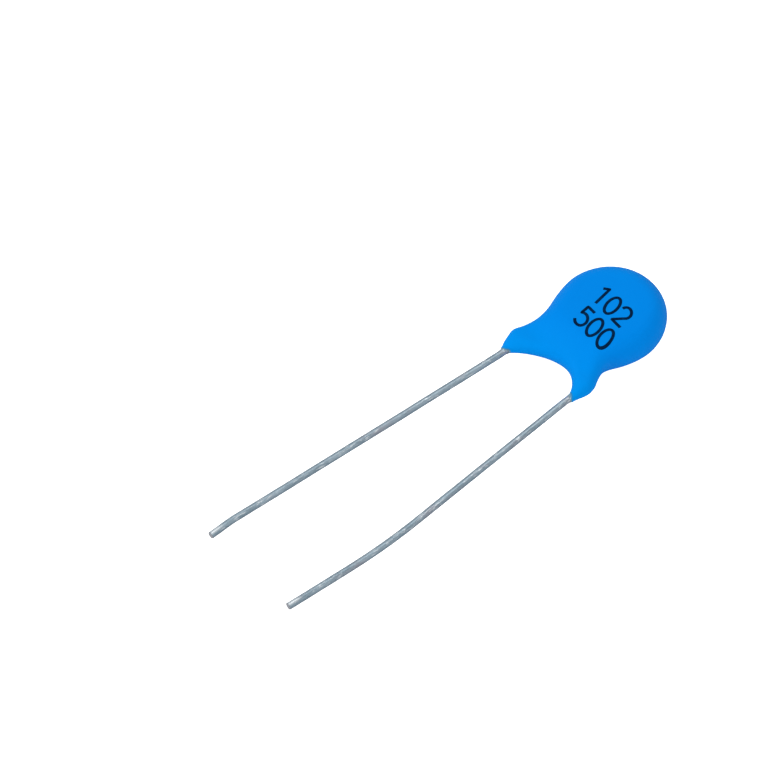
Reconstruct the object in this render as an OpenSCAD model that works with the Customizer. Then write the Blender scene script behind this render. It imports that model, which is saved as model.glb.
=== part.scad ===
// Ceramic disc capacitor with two long radial leads, lying on a table as it would come to rest.
// Millimetres, +Z up. The leads point to -Y and the marked face looks up.
// The origin is on the table, under the middle of the whole part.
//
// The part is drawn flat first: disc centre at the origin, mid-plane at z = 0, leads to -Y.
// lay_down() then tips it a little, because it rests on its thick disc and on the two lead ends.

/* [Coating] */
// Diameter of the dipped disc
coat_d = 8.7; // [8.4:0.1:9.6]
// Thickness through the middle of the disc
coat_t = 3.5; // [3.3:0.1:4.6]
// How much the face is crowned from the middle of the disc to its rim
coat_crown = 0.15; // [0:0.01:0.3]
// Width of the band in which the disc's face rolls over to its rim
coat_roll = 1.4; // [1.2:0.1:2]
// Thickness of the two legs
leg_t = 1.4; // [1.2:0.05:1.8]
// Thickness of the legs' toes, where the wires come out
toe_t = 0.95; // [0.85:0.05:1.2]
// Width of the band in which a leg rolls over to its edge
leg_roll = 0.65; // [0.55:0.05:0.8]
// Distance from the disc centre at which the thickness starts to fall towards the legs
neck_start = 3.2; // [3:0.1:3.6]
// Distance from the disc centre at which the leg thickness is reached
neck_end = 6.2; // [6.1:0.1:7]

/* [Legs] */
// Distance from the disc centre down to the middle of the legs' rounded shoulders
shoulder_drop = 6.2; // [6.1:0.05:6.4]
// Radius of the left leg's shoulder
left_shoulder_r = 0.9; // [0.7:0.05:1.05]
// Radius of the right leg's shoulder
right_shoulder_r = 1.3; // [1.1:0.05:1.4]
// Distance from the left lead outwards to the middle of its leg's shoulder
left_shoulder_shift = 0.1; // [0:0.05:0.3]
// Distance from the right lead outwards to the middle of its leg's shoulder
right_shoulder_shift = -0.75; // [-0.85:0.05:-0.6]
// Direction in which the disc's round ends and its flatter left hip begins, down from sideways
left_hip_angle = 7; // [0:1:20]
// Direction in which the disc's round ends and its flatter right hip begins, down from sideways
right_hip_angle = 17; // [5:1:25]
// Radius of both hips
hip_r = 11.5; // [8:0.5:16]
// Radius of the hollow flank between the left hip and its leg
left_flank_r = 4.1; // [3.4:0.1:5]
// Radius of the hollow flank between the right hip and its leg
right_flank_r = 2.3; // [1.8:0.1:3]
// Radius of the slight bulge from a leg's shoulder to its toe
taper_r = 20; // [8:1:40]
// Distance from the disc centre down to the end of the toes
toe_drop = 7.8; // [7.7:0.05:7.9]
// Radius of the left leg's toe
left_toe_r = 0.55; // [0.4:0.01:0.6]
// Radius of the right leg's toe
right_toe_r = 0.4; // [0.38:0.01:0.5]
// Distance from a lead outwards to the middle of its leg's toe
toe_shift = 0.05; // [0:0.01:0.08]
// Distance from the disc centre down to the top of the arch between the legs
arch_drop = 5.85; // [5.6:0.05:5.95]
// Sideways place of the top of the arch
arch_shift = 0.5; // [-0.3:0.05:0.8]

/* [Leads] */
// Diameter of the lead wire
lead_d = 0.55; // [0.4:0.05:0.6]
// Distance between the two leads where they leave the coating
lead_pitch = 6.65; // [6.4:0.05:6.8]
// Sideways place of the point midway between the leads
pitch_shift = -0.3; // [-0.4:0.05:0]
// Direction of both leads inside the legs, from -Y towards -X
exit_angle = 5; // [0:0.5:8]
// Distance from the disc centre down to the kink just outside the coating
kink_drop = 8.35; // [8.1:0.05:9]
// Direction of the left lead's long run
left_run_angle = 9; // [4:0.1:12]
// Length of the left lead's long run
left_run = 25.2; // [15:0.1:40]
// Direction of the left lead's end
left_tip_angle = 4.3; // [0:0.1:10]
// Length of the left lead's end
left_tip_run = 2; // [1.5:0.05:5]
// Direction of the right lead's long run
right_run_angle = 1.8; // [-4:0.1:6]
// Length of the right lead's long run
right_run = 18.9; // [12:0.1:30]
// Direction of the right lead's end
right_tip_angle = 9.2; // [2:0.1:12]
// Length of the right lead's end
right_tip_run = 8.85; // [5:0.05:14]

/* [Inside] */
// Diameter of the ceramic disc
ceramic_d = 7; // [6.6:0.1:7.2]
// Thickness of the ceramic disc
ceramic_t = 1.0; // [0.8:0.05:1.2]
// Bare rim of the ceramic round each silver electrode
electrode_margin = 0.4; // [0.2:0.05:0.6]
// Thickness of a silver electrode
electrode_t = 0.05; // [0.03:0.01:0.08]
// Solder left between an electrode and the wire lying on it
solder_film = 0.05; // [0.03:0.01:0.08]
// Solder over the top of the wire
solder_cover = 0.1; // [0.06:0.01:0.16]
// Width of the solder on the electrode
solder_w = 1.6; // [1.2:0.05:2]
// Length of the soldered stretch of wire
solder_len = 2.9; // [2:0.1:3]
// Distance of a wire's inner end to the side of the disc centre
wire_end_x = 1.3; // [1:0.1:1.5]
// Distance of a wire's inner end above the disc centre
wire_end_y = 1.5; // [1:0.1:1.6]
// Gap between the ceramic's rim and the place where a wire starts to step off to the mid-plane
step_gap = 0.9; // [0.8:0.05:1]
// Distance from the disc centre down to the place where a wire is back in the mid-plane
foot_drop = 6.2; // [6:0.05:6.4]

/* [Hidden] */

LEFT = 0;
RIGHT = 1;
FRONT = 1;
BACK = -1;

coat_r = coat_d / 2;
lead_r = lead_d / 2;
ceramic_r = ceramic_d / 2;
electrode_r = ceramic_r - electrode_margin;
electrode_top = ceramic_t / 2 + electrode_t;
wire_z = electrode_top + solder_film + lead_r;  // height of a wire lying on its electrode

// Rows and columns of the coating's mesh
DISC_ROWS = 24;
LEG_ROWS = 30;
COLUMNS = 14;
FLANK_SPLIT = 0.55;  // share of the hollow flank that lies beside the disc's rows
INNER_LAG = 1.15;    // how far the rows lag on the arch side of a leg, to lie across the leg
NECK_SPREAD = 0.75;  // how much less the neck's fall counts sideways than downwards
RIDGE_BLEND = 0.6;   // share of its height over which the ridge between two edges is rounded

// Facets all the way round
WIRE_FACETS = 24;
BEND_FACETS = 120;
DISC_FACETS = 64;
DROP_FACETS = 24;

// Bend radii of the wire
STEP_BEND_R = 1;
KINK_BEND_R = 3;
LEFT_TIP_BEND_R = 8;
RIGHT_TIP_BEND_R = 50;

// ---------- small helpers ----------

function unit(v) = v / norm(v);
function heading(v) = atan2(v.y, v.x);
function positive(a) = a - 360 * floor(a / 360);
function turn_by(a, b) = positive(a - b + 180) - 180;
function polar(r, a) = [r * cos(a), r * sin(a)];
function clamp01(t) = max(0, min(1, t));
function mix(a, b, t) = a * (1 - t) + b * t;
function ease(t) = (1 - cos(180 * t)) / 2;
function smooth(a, b, x) = let (t = clamp01((x - a) / (b - a))) t * t * (3 - 2 * t);
function sideways(side) = side == LEFT ? -1 : 1;
function flip(p, side) = [p.x * sideways(side), p.y];
function last(list) = list[len(list) - 1];

// Direction a, given with as many full turns less as bring it below the limit
function below(a, limit) = limit - positive(limit - a);

// Point at distance ra from a and rb from b, to the left of the way from a to b for aside = 1
// and to the right for aside = -1
function meet(a, ra, b, rb, aside) = let (
        far = norm(b - a),
        along = (far * far + ra * ra - rb * rb) / (2 * far),
        u = unit(b - a)
    ) a + u * along + [-u.y, u.x] * aside * sqrt(ra * ra - along * along);

// ---------- outline of the coating ----------
// Each half is worked out with its leg at +X; flip() puts the left one back.
// It is a chain of arcs, each tangent to the next: disc, hip, hollow flank, shoulder, taper, toe
// and arch.
// An arc is [centre, radius, first angle, last angle]. The toe is cut in two at its lowest point:
// the first half belongs to the outer side of the leg, the second to the arch side.

LOWEST = -90;
OUTER_ARCS = [0 : 5];
INNER_ARCS = [6 : 7];

function exit_x(side) = pitch_shift + sideways(side) * lead_pitch / 2;

// Point of a half at the given drop, at a distance outwards from its lead
function beside_lead(side, drop, shift) =
    [sideways(side) * (exit_x(side) + (kink_drop - drop) * tan(exit_angle)) + shift, -drop];

function arch_top(side) = flip([arch_shift, -arch_drop], side);

function arcs(side) = let (
        hip_from = side == LEFT ? -left_hip_angle : -right_hip_angle,
        flank_r = side == LEFT ? left_flank_r : right_flank_r,
        shoulder_r = side == LEFT ? left_shoulder_r : right_shoulder_r,
        shift = side == LEFT ? left_shoulder_shift : right_shoulder_shift,
        toe_r = side == LEFT ? left_toe_r : right_toe_r,
        shoulder = beside_lead(side, shoulder_drop, shift),
        toe = beside_lead(side, toe_drop - toe_r, toe_shift),
        hip = polar(coat_r - hip_r, hip_from),
        flank = meet(hip, hip_r + flank_r, shoulder, shoulder_r + flank_r, 1),
        taper = meet(shoulder, taper_r - shoulder_r, toe, taper_r - toe_r, -1),
        top = arch_top(side),
        across = toe - top,
        arch_r = (across * across - toe_r * toe_r) / (2 * (toe_r - across.y)),
        arch = top - [0, arch_r],
        shoulder_from = heading(flank - shoulder),
        taper_from = below(heading(shoulder - taper), shoulder_from),
        toe_from = below(heading(toe - taper), taper_from),
        toe_to = below(heading(arch - toe), LOWEST)
    ) [
        [[0, 0], coat_r, 90, hip_from],
        [hip, hip_r, hip_from, heading(flank - hip)],
        [flank, flank_r, positive(heading(hip - flank)), positive(heading(shoulder - flank))],
        [shoulder, shoulder_r, shoulder_from, taper_from],
        [taper, taper_r, taper_from, toe_from],
        [toe, toe_r, toe_from, LOWEST],
        [toe, toe_r, LOWEST, toe_to],
        [arch, arch_r, heading(toe - arch), 90]
    ];

HALVES = [arcs(LEFT), arcs(RIGHT)];

function arc_point(arc, t) = arc[0] + polar(arc[1], arc[2] + (arc[3] - arc[2]) * t);
function arc_length(arc) = arc[1] * abs(arc[3] - arc[2]);

// Distance from p to an arc; far away where the foot of the perpendicular misses the arc
function arc_distance(arc, p) =
    abs(turn_by(heading(p - arc[0]), (arc[2] + arc[3]) / 2)) <= abs(arc[3] - arc[2]) / 2
    ? abs(norm(p - arc[0]) - arc[1]) : coat_d;

function side_distance(p, which) =
    min([for (side = [LEFT, RIGHT], k = which) arc_distance(HALVES[side][k], flip(p, side))]);

// The lesser of a and b, rounded over where they are alike, so that no ridge is left between them
function soft_min(a, b) = let (
        least = min(a, b),
        band = least * RIDGE_BLEND,
        h = band > 0 ? max(0, band - abs(a - b)) / band : 0
    ) least - h * h * band / 4;

function edge_distance(p) = soft_min(side_distance(p, OUTER_ARCS), side_distance(p, INNER_ARCS));

// ---------- surface of the coating ----------

// Half thickness of the coating over a point of its mid-plane. The face is full over the disc,
// thins down the neck into the legs and on to their toes, and rolls over to the edge as a
// quarter of an ellipse.
function coat_height(p) = let (
        neck = p.y < 0 ? smooth(neck_start, neck_end, norm([p.x * NECK_SPREAD, p.y])) : 0,
        crown = coat_crown * pow(min(1, norm(p) / coat_r), 2),
        leg = mix(leg_t, toe_t, smooth(shoulder_drop, toe_drop, -p.y)),
        full = mix(coat_t / 2 - crown, leg / 2, neck),
        roll = mix(coat_roll, leg_roll, neck),
        inset = 1 - clamp01(edge_distance(p) / roll)
    ) full * sqrt(1 - inset * inset);

// Point at share t of the way along a chain of arcs
function chain_point(chain, t) = let (
        lengths = [for (arc = chain) arc_length(arc)],
        sums = [for (i = 0, s = 0; i <= len(lengths); s = s + (i < len(lengths) ? lengths[i] : 0),
                i = i + 1) s],
        goal = t * last(sums),
        k = max([for (i = [0 : len(chain) - 1]) if (i == 0 || sums[i] <= goal) i])
    ) arc_point(chain[k], min(1, (goal - sums[k]) / lengths[k]));

function cut_arc(arc, from, to) =
    [arc[0], arc[1], mix(arc[2], arc[3], from), mix(arc[2], arc[3], to)];

// The mesh is a ladder. Its rungs run from the outer edge to the middle line on the disc,
// and from the outer edge to the arch on a leg, down to the toe's lowest point.
ROWS = DISC_ROWS + LEG_ROWS;

function outer_point(side, row) = let (a = HALVES[side])
    row <= DISC_ROWS
    ? chain_point([a[0], a[1], cut_arc(a[2], 0, FLANK_SPLIT)], row / DISC_ROWS)
    : chain_point([cut_arc(a[2], FLANK_SPLIT, 1), a[3], a[4], a[5]], (row - DISC_ROWS) / LEG_ROWS);

function inner_point(side, row) = let (a = HALVES[side])
    row <= DISC_ROWS
    ? mix([0, coat_r], arch_top(side), ease(row / DISC_ROWS))
    : chain_point([cut_arc(a[7], 1, 0), cut_arc(a[6], 1, 0)], pow((row - DISC_ROWS) / LEG_ROWS, INNER_LAG));

function on_edge(row, col) = col == 0 || row == 0 || row == ROWS || (col == COLUMNS && row >= DISC_ROWS);

function sheet(side, face) = [for (row = [0 : ROWS]) let (
        a = outer_point(side, row),
        b = row == ROWS ? a : inner_point(side, row)
    ) for (col = [0 : COLUMNS]) let (
        p = flip(mix(a, b, ease(col / COLUMNS)), side)
    ) [p.x, p.y, on_edge(row, col) ? 0 : face * coat_height(p)]];

function sheet_faces(base, turned) = [for (row = [0 : ROWS - 1], col = [0 : COLUMNS - 1]) let (
        a = base + row * (COLUMNS + 1) + col,
        b = a + COLUMNS + 1
    ) for (t = [[a, b, b + 1], [a, b + 1, a + 1]]) turned ? [t[2], t[1], t[0]] : t];

function distinct(pts, t) = pts[t[0]] != pts[t[1]] && pts[t[1]] != pts[t[2]] && pts[t[2]] != pts[t[0]];

SHEETS = [for (side = [LEFT, RIGHT], face = [FRONT, BACK]) [side, face]];
SHEET_SIZE = (ROWS + 1) * (COLUMNS + 1);
coat_points = [for (s = SHEETS) each sheet(s[0], s[1])];
coat_faces = [for (k = [0 : 3]) let (s = SHEETS[k])
    for (t = sheet_faces(k * SHEET_SIZE, sideways(s[0]) * s[1] < 0)) if (distinct(coat_points, t)) t];

// ---------- routes of the leads ----------

function kink(side) = [exit_x(side), -kink_drop, 0];
function lean(a) = [-sin(a), -cos(a), 0];
function face_of(side) = side == LEFT ? FRONT : BACK;

// Where the wire is back in the mid-plane, inside its leg
function step_foot(side) = kink(side) - lean(exit_angle) * (kink_drop - foot_drop) / cos(exit_angle);

// Where it steps down from its electrode's height, clear of the ceramic's rim
function step_top(side) = let (foot = step_foot(side))
    unit([foot.x, foot.y, 0]) * (ceramic_r + step_gap) + [0, 0, wire_z * face_of(side)];

function wire_end(side) = [sideways(side) * wire_end_x, wire_end_y, wire_z * face_of(side)];

function far_bend(side) = kink(side)
    + lean(side == LEFT ? left_run_angle : right_run_angle) * (side == LEFT ? left_run : right_run);

function flat_tip(side) = far_bend(side)
    + lean(side == LEFT ? left_tip_angle : right_tip_angle) * (side == LEFT ? left_tip_run : right_tip_run);

// ---------- how the part lies ----------

// Height of the disc centre over the table when the part is tipped by angle a
function lift_at(a) = -min([for (p = coat_points) p.y * sin(a) + p.z * cos(a)]);

// Tilt at which the disc's underside and the lead ends touch the table together
reach = -(flat_tip(LEFT).y + flat_tip(RIGHT).y) / 2;
first_guess = asin((coat_t - lead_d) / 2 / reach);
lie = asin((lift_at(first_guess) - lead_r) / reach);
lift = lift_at(lie);

function tipped(p) = [p.x, p.y * cos(lie) - p.z * sin(lie), p.y * sin(lie) + p.z * cos(lie)];

// The lead's end is bent up or down by a hair, so that it lies on the table too
function lead_tip(side) = let (p = flat_tip(side))
    [p.x, p.y, (lead_r - lift - p.y * sin(lie)) / cos(lie)];

function route(side) = [wire_end(side), step_top(side), step_foot(side), kink(side),
                        far_bend(side), lead_tip(side)];

BENDS = [0, STEP_BEND_R, STEP_BEND_R, KINK_BEND_R];
function bends(side) = concat(BENDS, [side == LEFT ? LEFT_TIP_BEND_R : RIGHT_TIP_BEND_R, 0]);

// Lowest x and y that the flat end face of a lead reaches
function tip_reach(side, axis) = let (
        p = route(side),
        d = tipped(unit(p[5] - p[4]))
    ) tipped(p[5])[axis] - lead_r * sqrt(1 - d[axis] * d[axis]);

mid_x = (tip_reach(LEFT, 0) + max([for (p = coat_points) p.x])) / 2;
mid_y = (min(tip_reach(LEFT, 1), tip_reach(RIGHT, 1)) + max([for (p = coat_points) tipped(p).y])) / 2;

module lay_down() {
    translate([-mid_x, -mid_y, lift])
        rotate([lie, 0, 0])
            children();
}

// ---------- bent wire ----------

BEAD = 1.02;  // the wire swells by this share where a bend begins and ends

function bend_angle(p, i) = acos(unit(p[i] - p[i - 1]) * unit(p[i + 1] - p[i]));
function setback(p, r, i) = i == 0 || i == len(p) - 1 ? 0 : r[i] * tan(bend_angle(p, i) / 2);

// Moves its children to o, with their z axis along d and their x axis towards s
module aim(o, s, d) {
    z = unit(d);
    y = unit(cross(z, s));
    x = cross(y, z);
    multmatrix([[x.x, y.x, z.x, o.x], [x.y, y.y, z.y, o.y], [x.z, y.z, z.z, o.z], [0, 0, 0, 1]])
        children();
}

// Round wire along the points p, with bend radius r[i] at p[i]
module bent_wire(p, r) {
    far = len(p) - 1;
    for (i = [0 : far - 1]) {
        d = unit(p[i + 1] - p[i]);
        len = norm(p[i + 1] - p[i]) - setback(p, r, i) - setback(p, r, i + 1);
        aim(p[i] + d * setback(p, r, i), [0, 0, 1], d) {
            cylinder(r = lead_r, h = len, $fn = WIRE_FACETS);
            for (z = [if (i > 0) 0, if (i < far - 1) len])
                translate([0, 0, z])
                    sphere(r = lead_r * BEAD, $fn = WIRE_FACETS);
        }
    }
    for (i = [1 : far - 1]) {
        u = unit(p[i] - p[i - 1]);
        v = unit(p[i + 1] - p[i]);
        centre = p[i] + unit(v - u) * r[i] / cos(bend_angle(p, i) / 2);
        start = p[i] - u * setback(p, r, i);
        aim(centre, start - centre, cross(u, v))
            rotate_extrude(angle = bend_angle(p, i), $fn = BEND_FACETS)
                translate([r[i], 0])
                    circle(r = lead_r, $fn = WIRE_FACETS);
    }
}

module flat_lead(side) {
    bent_wire(route(side), bends(side));
}

// ---------- inside ----------

module flat_ceramic() {
    cylinder(r = ceramic_r, h = ceramic_t, center = true, $fn = DISC_FACETS);
}

module flat_electrode(face) {
    translate([0, 0, face > 0 ? ceramic_t / 2 : -ceramic_t / 2 - electrode_t])
        cylinder(r = electrode_r, h = electrode_t, $fn = DISC_FACETS);
}

// A drop of solder drawn out along the wire: a round-ended rod, sunk in the electrode's face so
// that it is solder_w wide there and just covers the wire
module solder_drop(side) {
    p = route(side);
    height = solder_film + lead_d + solder_cover;
    rod_r = (pow(solder_w / 2, 2) + height * height) / (2 * height);
    face = [0, 0, face_of(side)];
    aim([p[0].x, p[0].y, 0] + face * electrode_top, p[1] - p[0], face)
        intersection() {
            translate([0, 0, height - rod_r])
                rotate([0, 90, 0])
                    rotate_extrude($fn = DROP_FACETS)
                        round_ended(rod_r, solder_len);
            translate([-ceramic_r, -ceramic_r, 0])
                cube([ceramic_d * 2, ceramic_d, coat_t]);
        }
}

// Half of a slot's outline, for turning
module round_ended(r, len) {
    intersection() {
        union() {
            square([r, len]);
            for (y = [0, len])
                translate([0, y])
                    circle(r = r, $fn = DROP_FACETS);
        }
        translate([0, -r])
            square([r, len + 2 * r]);
    }
}

module flat_solder(side) {
    difference() {
        solder_drop(side);
        flat_lead(side);
    }
}

// ---------- coating ----------

module flat_coat() {
    difference() {
        polyhedron(points = coat_points, faces = coat_faces, convexity = 6);
        flat_ceramic();
        flat_electrode(FRONT);
        flat_electrode(BACK);
        solder_drop(LEFT);
        solder_drop(RIGHT);
        flat_lead(LEFT);
        flat_lead(RIGHT);
    }
}

// ---------- the pieces, as they lie ----------

module coating() {
    color([0.02, 0.53, 0.89]) lay_down() flat_coat();
}

module ceramic_disc() {
    color([0.85, 0.78, 0.66]) lay_down() flat_ceramic();
}

module electrode(face) {
    color([0.86, 0.86, 0.84]) lay_down() flat_electrode(face);
}

module solder(side) {
    color([0.66, 0.67, 0.69]) lay_down() flat_solder(side);
}

module lead(side) {
    color([0.62, 0.65, 0.68]) lay_down() flat_lead(side);
}

coating();
ceramic_disc();
electrode(FRONT);  // front_electrode
electrode(BACK);  // back_electrode
solder(LEFT);  // front_solder
solder(RIGHT);  // back_solder
lead(LEFT);  // left_lead
lead(RIGHT);  // right_lead
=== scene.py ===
# %% [markdown]
# # A ceramic disc capacitor, its surfaces and its light
# The part is a thin ceramic disc with a silver electrode on each face and a wire soldered to each
# electrode. The whole is dipped in blue resin, which runs down the two wires in short legs.
# The solids come ready-made from the CAD model. This lesson gives them their surfaces: the skin
# of the resin, the printed figures, the tinned wires, and the light that shows them.

# %% Load the solids
import math

import bmesh
import bpy
import numpy as np
from mathutils import Matrix, Vector


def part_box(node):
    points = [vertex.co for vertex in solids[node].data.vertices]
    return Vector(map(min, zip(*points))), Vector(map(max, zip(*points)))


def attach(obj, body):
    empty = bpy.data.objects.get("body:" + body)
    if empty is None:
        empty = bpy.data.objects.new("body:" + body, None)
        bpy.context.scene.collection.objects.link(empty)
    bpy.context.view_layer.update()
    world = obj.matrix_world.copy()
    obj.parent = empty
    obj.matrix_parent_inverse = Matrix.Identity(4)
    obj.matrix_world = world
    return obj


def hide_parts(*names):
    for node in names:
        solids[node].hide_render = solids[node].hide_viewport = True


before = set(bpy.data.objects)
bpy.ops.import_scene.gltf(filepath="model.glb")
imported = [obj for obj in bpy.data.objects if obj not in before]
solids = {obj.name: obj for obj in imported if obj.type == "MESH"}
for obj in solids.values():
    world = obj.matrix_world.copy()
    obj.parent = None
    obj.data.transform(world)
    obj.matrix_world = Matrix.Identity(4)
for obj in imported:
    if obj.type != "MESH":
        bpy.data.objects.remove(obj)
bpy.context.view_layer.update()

scene = bpy.context.scene
MM = 0.001  # the scene is in metres, and so small a thing is easier to think of in millimetres

print("solids:", ", ".join(sorted(solids)))

# %% [markdown]
# ## Camera
# A small part is best shown from far away through a long lens, so that its far end looks nearly as
# large as its near end. The camera could be aimed at the part by a constraint. Here it gets a
# fixed place and turn, which is simpler and keeps the same picture when a piece changes.

# %% Set up the camera
CAMERA_AT = Vector((209.401, -230.260, 384.771)) * MM
CAMERA_TURN = [math.radians(degrees) for degrees in (39.3410, -0.5349, 43.7471)]
LENS = 304.2  # focal length on a sensor 36 mm wide

camera = bpy.data.objects.new("camera", bpy.data.cameras.new("camera"))
camera.location = CAMERA_AT
camera.rotation_euler = CAMERA_TURN
camera.data.lens = LENS
camera.data.clip_start = 0.01
camera.data.clip_end = 10
scene.collection.objects.link(camera)
scene.camera = camera
print("camera stands", round(CAMERA_AT.length / MM), "mm from the part")

# %% [markdown]
# ## Node helpers
# Materials and Geometry Nodes are both trees of nodes, and a tree can be built by hand in the
# editor or by a script. A script makes it readable from top to bottom. The first helpers add a
# node and fill or link its inputs. The next ones give short names to the nodes that are used most.

# %% Add nodes and link them
def live(sockets, key=0):
    """A socket by name or number, among those that the node's settings leave in use."""
    used = [socket for socket in sockets if socket.enabled]
    return used[key] if isinstance(key, int) else next(s for s in used if s.name == key)


def fill(node, key, value):
    """Give an input of a node a value, or link another node's output to it."""
    socket = live(node.inputs, key)
    if isinstance(value, bpy.types.NodeSocket):
        node.id_data.links.new(value, socket)
    else:
        socket.default_value = value


def add(tree, kind, inputs=None, give=0, **settings):
    """Add a node with its settings, fill its inputs, and return the output called give."""
    node = tree.nodes.new(kind)
    for key, value in settings.items():
        setattr(node, key, value)
    for key, value in (inputs or {}).items():
        fill(node, key, value)
    return live(node.outputs, give)


print("ready to add nodes:", ", ".join(helper.__name__ for helper in (live, fill, add)))

# %% Name the nodes that are used most
def calculate(tree, operation, *values, clamp=False):
    """The result of a Math node."""
    return add(tree, "ShaderNodeMath", dict(enumerate(values)), operation=operation, use_clamp=clamp)


def vectors(tree, operation, a, b=None, scale=None):
    """The result of a Vector Math node."""
    inputs = {key: value for key, value in ((0, a), (1, b), ("Scale", scale)) if value is not None}
    return add(tree, "ShaderNodeVectorMath", inputs, operation=operation)


def vector_of(tree, **parts):
    """A vector made from its parts X, Y and Z. A part that is left out is 0."""
    return add(tree, "ShaderNodeCombineXYZ", parts)


def blend(tree, factor, a, b):
    """A colour between a and b."""
    return add(tree, "ShaderNodeMix", {"Factor": factor, "A": a, "B": b}, data_type="RGBA")


def between(tree, value, low, high, to_low=0.0, to_high=1.0, smooth=False):
    """Value, carried from the range low to high over to the range to_low to to_high."""
    return add(tree, "ShaderNodeMapRange",
               {"Value": value, "From Min": low, "From Max": high, "To Min": to_low, "To Max": to_high},
               interpolation_type="SMOOTHSTEP" if smooth else "LINEAR")


def from_middle(tree, noise):
    """A noise that swings to both sides of 0, where the node's own swings round a half."""
    return calculate(tree, "SUBTRACT", noise, 0.5)


short_names = (calculate, vectors, vector_of, blend, between, from_middle)
print("short names:", ", ".join(helper.__name__ for helper in short_names))

# %% [markdown]
# ## Trees, materials and finished meshes
# A tree with named sockets can be used again with other values, and each material here starts
# from one Principled shader. A tree of Geometry Nodes could stay on its object as a live modifier.
# Its result is taken as a plain mesh instead, which is moved like any other.

# %% Start a tree or a material
def new_tree(name, kind, inputs, outputs):
    """Start a node tree with named sockets. Returns the tree, its inputs' node and its outputs' node."""
    tree = bpy.data.node_groups.new(name, kind)
    for direction, sockets in (("INPUT", inputs), ("OUTPUT", outputs)):
        for title, socket_type, default in sockets:
            socket = tree.interface.new_socket(title, in_out=direction, socket_type=socket_type)
            if default is not None:
                socket.default_value = default
    return tree, tree.nodes.new("NodeGroupInput").outputs, tree.nodes.new("NodeGroupOutput")


def new_material(name):
    """A material with only a Principled shader. Returns the material, its tree, shader and place."""
    material = bpy.data.materials.new(name)
    material.use_nodes = True
    tree = material.node_tree
    tree.nodes.clear()
    shader = tree.nodes.new("ShaderNodeBsdfPrincipled")
    surface = tree.nodes.new("ShaderNodeOutputMaterial")
    tree.links.new(shader.outputs["BSDF"], surface.inputs["Surface"])
    return material, tree, shader, add(tree, "ShaderNodeTexCoord", give="Object")


print("materials so far:", len(bpy.data.materials))

# %% Helpers for trees that make geometry
def joined(tree, *parts):
    """Several geometries as one."""
    join = tree.nodes.new("GeometryNodeJoinGeometry")
    for part in parts:
        fill(join, "Geometry", part)
    return join.outputs["Geometry"]


def noted(tree, geometry, name, value, kind="FLOAT", domain="POINT"):
    """Write a value onto a geometry as a named attribute, which a material can read."""
    return add(tree, "GeometryNodeStoreNamedAttribute",
               {"Geometry": geometry, "Name": name, "Value": value}, data_type=kind, domain=domain)


def in_metres(tree, geometry):
    return add(tree, "GeometryNodeTransform", {"Geometry": geometry, "Scale": (MM,) * 3})


def facing_up(tree):
    """How far a surface faces up: 1 is level, 0 upright and -1 upside down."""
    return add(tree, "ShaderNodeSeparateXYZ", {0: add(tree, "GeometryNodeInputNormal")}, give="Z")


def ends_as_mesh(tree, geometry, material, result):
    """The last steps of every tree here: real geometry with its material, sent to the output."""
    real = add(tree, "GeometryNodeRealizeInstances", {"Geometry": geometry})
    dressed = add(tree, "GeometryNodeSetMaterial", {"Geometry": real, "Material": material})
    fill(result, "Geometry", dressed)


print("node trees so far:", len(bpy.data.node_groups))

# %% Turn a tree's result into a plain mesh
def grown(mesh, tree, values, name, before=None):
    """Run a Geometry Nodes tree on a mesh and return a plain mesh object, with no modifier left."""
    source = bpy.data.objects.new(name + "_source", mesh)
    scene.collection.objects.link(source)
    if before:
        before(source)
    modifier = source.modifiers.new(tree.name, "NODES")
    modifier.node_group = tree
    for socket in tree.interface.items_tree:
        if socket.item_type == "SOCKET" and socket.in_out == "INPUT" and socket.name in values:
            modifier[socket.identifier] = values[socket.name]
    view = bpy.context.evaluated_depsgraph_get()
    mesh_now = bpy.data.meshes.new_from_object(source.evaluated_get(view), depsgraph=view)
    mesh_now.name = name
    made = bpy.data.objects.new(name, mesh_now)
    scene.collection.objects.link(made)
    bpy.data.objects.remove(source)
    print(name, "triangles:", sum(len(face.vertices) - 2 for face in mesh_now.polygons))
    return made


# %% [markdown]
# ## Light table
# Small parts are often shown on a white light table, which glows, so that no shadow is left. A
# table that glowed on the part too would wash out its rims from below. So this one is pale grey
# paper that shines only for the camera, which a Light Path node can tell from other rays. In
# reflections it is darker, as if grey card lay around the part, which gives the wires their edge.

# %% Make the table
TABLE_SIZE = 3.0  # metres
PALE_PAPER = (0.86, 0.87, 0.88, 1)
GREY_CARD = (0.44, 0.46, 0.49, 1)


def plain_sheet(name, size):
    shape = bmesh.new()
    bmesh.ops.create_grid(shape, x_segments=1, y_segments=1, size=size / 2)
    mesh = bpy.data.meshes.new(name)
    shape.to_mesh(mesh)
    shape.free()
    sheet = bpy.data.objects.new(name, mesh)
    scene.collection.objects.link(sheet)
    return sheet


table = plain_sheet("light_table", TABLE_SIZE)
paper, tree, shader, _ = new_material("white_paper")
mirrored = add(tree, "ShaderNodeLightPath", give="Is Glossy Ray")
fill(shader, "Base Color", blend(tree, mirrored, PALE_PAPER, GREY_CARD))
fill(shader, "Roughness", 0.9)
fill(shader, "Specular IOR Level", 0.1)
fill(shader, "Emission Color", (1, 1, 1, 1))
fill(shader, "Emission Strength", add(tree, "ShaderNodeLightPath", give="Is Camera Ray"))
table.data.materials.append(paper)
print("table:", TABLE_SIZE, "m wide")

# %% [markdown]
# ## Lamps
# A single lamp would leave one side of the body dark. Two large soft lamps stand on the leads'
# side, and the left one is nearer and so brighter on the part. A faint one fills the back, and a
# pale room adds the even light that white walls throw.

# %% Hang the lamps
LAMPS = {  # place and side of the square in metres, and power in watts
    "key_lamp": ((-0.22, -0.17, 0.26), 0.25, 0.57),
    "fill_lamp": ((0.30, -0.20, 0.28), 0.25, 0.54),
    "back_lamp": ((-0.05, 0.24, 0.38), 0.26, 0.17),
}


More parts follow.
